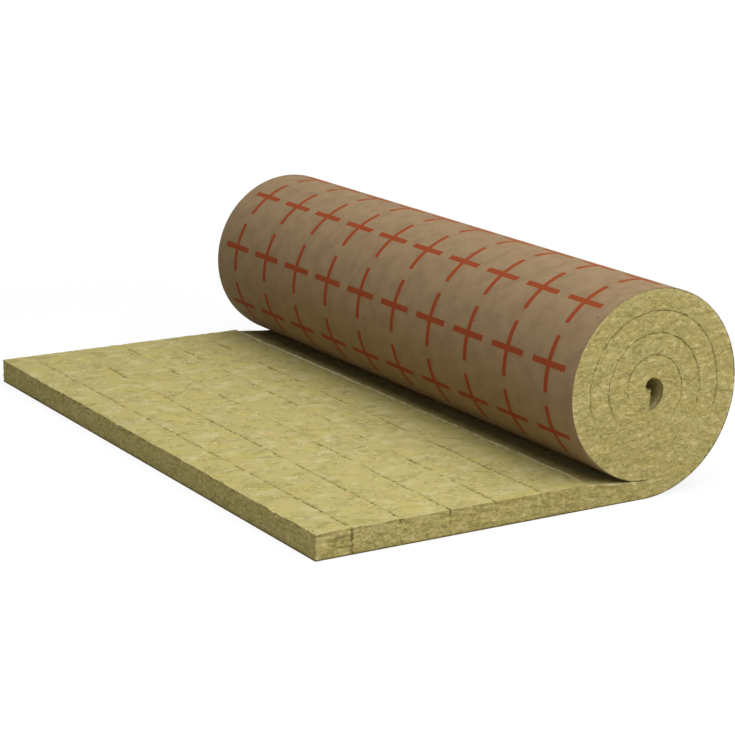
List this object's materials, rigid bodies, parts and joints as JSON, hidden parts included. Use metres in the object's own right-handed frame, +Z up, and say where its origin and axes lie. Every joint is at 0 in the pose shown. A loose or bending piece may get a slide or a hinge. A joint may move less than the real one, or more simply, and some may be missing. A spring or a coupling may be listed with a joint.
{
  "type": "insulation roll",
  "caption": "Stone-wool lamella mat on kraft paper, one end laid out flat and the rest wound into a roll.",
  "frame": {"origin": "middle of the bounding box at floor level", "axes": "+Z up, Y along the roll's axis, X from the free end (-X) to the roll (+X)"},
  "size_m": [0.6704, 1, 0.2946],
  "materials": {
    "kraft_paper": "matte brown kraft laminate with printed orange-red cutting crosses",
    "stone_wool": "matte fibrous greenish-yellow wool"
  },
  "bodies": {
    "root": {"kraft_facing": "kraft_paper", "lamella_1": "stone_wool", "lamella_2": "stone_wool", "lamella_3": "stone_wool", "lamella_4": "stone_wool", "lamella_5": "stone_wool", "lamella_6": "stone_wool", "wound_mat": "stone_wool"}
  },
  "joints": []
}
